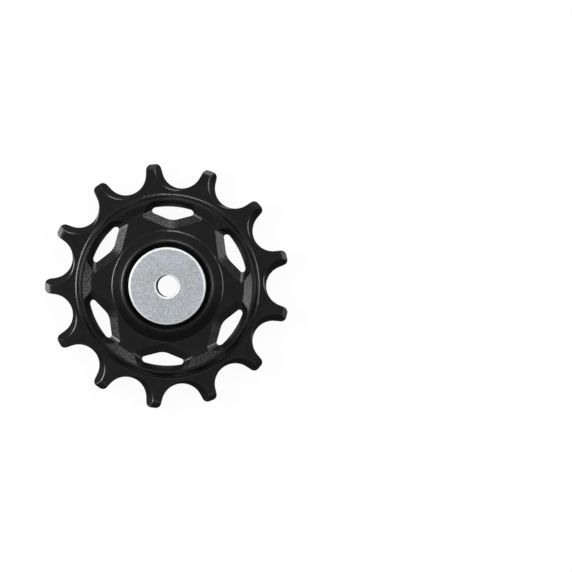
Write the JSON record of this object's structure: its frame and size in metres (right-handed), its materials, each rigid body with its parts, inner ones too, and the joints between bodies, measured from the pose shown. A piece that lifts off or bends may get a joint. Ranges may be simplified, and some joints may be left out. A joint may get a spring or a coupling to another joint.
{
  "type": "derailleur pulley wheel",
  "caption": "Toothed guide pulley for a bicycle chain: black moulded wheel with a faceted windowed web, on a sealed ball bearing between two plated steel caps.",
  "frame": {"origin": "on the axle's axis, at the middle of the tooth thickness", "axes": "+Z along the axle, out of the pictured face; +X to the right of the picture, +Y up it"},
  "size_m": [0.0557, 0.056, 0.008],
  "materials": {
    "moulded_plastic": "black moulded nylon, satin, with grained facets",
    "plated_steel": "matte zinc plating with brighter rounded edges",
    "sleeve_steel": "turned steel",
    "bearing_steel": "ground and polished bearing steel",
    "seal_rubber": "black rubber",
    "cage_plastic": "natural nylon"
  },
  "bodies": {
    "hub": {"axle_sleeve": "sleeve_steel", "bearing_inner_ring": "bearing_steel", "front_cap": "plated_steel", "rear_cap": "plated_steel"},
    "wheel": {"pulley_wheel": "moulded_plastic", "bearing_outer_ring": "bearing_steel", "front_seal": "seal_rubber", "rear_seal": "seal_rubber"},
    "ball_cage": {"ball_cage": "cage_plastic"},
    "ball_01": {"ball_01": "bearing_steel"},
    "ball_02": {"ball_02": "bearing_steel"},
    "ball_03": {"ball_03": "bearing_steel"},
    "ball_04": {"ball_04": "bearing_steel"},
    "ball_05": {"ball_05": "bearing_steel"},
    "ball_06": {"ball_06": "bearing_steel"},
    "ball_07": {"ball_07": "bearing_steel"},
    "ball_08": {"ball_08": "bearing_steel"},
    "ball_09": {"ball_09": "bearing_steel"},
    "ball_10": {"ball_10": "bearing_steel"}
  },
  "joints": [
    {"name": "wheel_spin", "type": "hinge", "parent": "hub", "child": "wheel", "pos_m": [0, 0, 0], "axis": [0, 0, 1], "continuous": true},
    {"name": "cage_turn", "type": "hinge", "parent": "hub", "child": "ball_cage", "pos_m": [0, 0, 0], "axis": [0, 0, 1], "continuous": true},
    {"name": "ball_01_roll", "type": "hinge", "parent": "ball_cage", "child": "ball_01", "pos_m": [0.006, 0, 0], "axis": [0, 0, 1], "continuous": true},
    {"name": "ball_02_roll", "type": "hinge", "parent": "ball_cage", "child": "ball_02", "pos_m": [0.00485, 0.00353, 0], "axis": [0, 0, 1], "continuous": true},
    {"name": "ball_03_roll", "type": "hinge", "parent": "ball_cage", "child": "ball_03", "pos_m": [0.00185, 0.00571, 0], "axis": [0, 0, 1], "continuous": true},
    {"name": "ball_04_roll", "type": "hinge", "parent": "ball_cage", "child": "ball_04", "pos_m": [-0.00185, 0.00571, 0], "axis": [0, 0, 1], "continuous": true},
    {"name": "ball_05_roll", "type": "hinge", "parent": "ball_cage", "child": "ball_05", "pos_m": [-0.00485, 0.00353, 0], "axis": [0, 0, 1], "continuous": true},
    {"name": "ball_06_roll", "type": "hinge", "parent": "ball_cage", "child": "ball_06", "pos_m": [-0.006, 0, 0], "axis": [0, 0, 1], "continuous": true},
    {"name": "ball_07_roll", "type": "hinge", "parent": "ball_cage", "child": "ball_07", "pos_m": [-0.00485, -0.00353, 0], "axis": [0, 0, 1], "continuous": true},
    {"name": "ball_08_roll", "type": "hinge", "parent": "ball_cage", "child": "ball_08", "pos_m": [-0.00185, -0.00571, 0], "axis": [0, 0, 1], "continuous": true},
    {"name": "ball_09_roll", "type": "hinge", "parent": "ball_cage", "child": "ball_09", "pos_m": [0.00185, -0.00571, 0], "axis": [0, 0, 1], "continuous": true},
    {"name": "ball_10_roll", "type": "hinge", "parent": "ball_cage", "child": "ball_10", "pos_m": [0.00485, -0.00353, 0], "axis": [0, 0, 1], "continuous": true}
  ],
  "couplings": [
    {"joint": "cage_turn", "follows": "wheel_spin", "ratio": 0.58333},
    {"joint": "ball_01_roll", "follows": "wheel_spin", "ratio": 2.9167},
    {"joint": "ball_02_roll", "follows": "wheel_spin", "ratio": 2.9167},
    {"joint": "ball_03_roll", "follows": "wheel_spin", "ratio": 2.9167},
    {"joint": "ball_04_roll", "follows": "wheel_spin", "ratio": 2.9167},
    {"joint": "ball_05_roll", "follows": "wheel_spin", "ratio": 2.9167},
    {"joint": "ball_06_roll", "follows": "wheel_spin", "ratio": 2.9167},
    {"joint": "ball_07_roll", "follows": "wheel_spin", "ratio": 2.9167},
    {"joint": "ball_08_roll", "follows": "wheel_spin", "ratio": 2.9167},
    {"joint": "ball_09_roll", "follows": "wheel_spin", "ratio": 2.9167},
    {"joint": "ball_10_roll", "follows": "wheel_spin", "ratio": 2.9167}
  ]
}
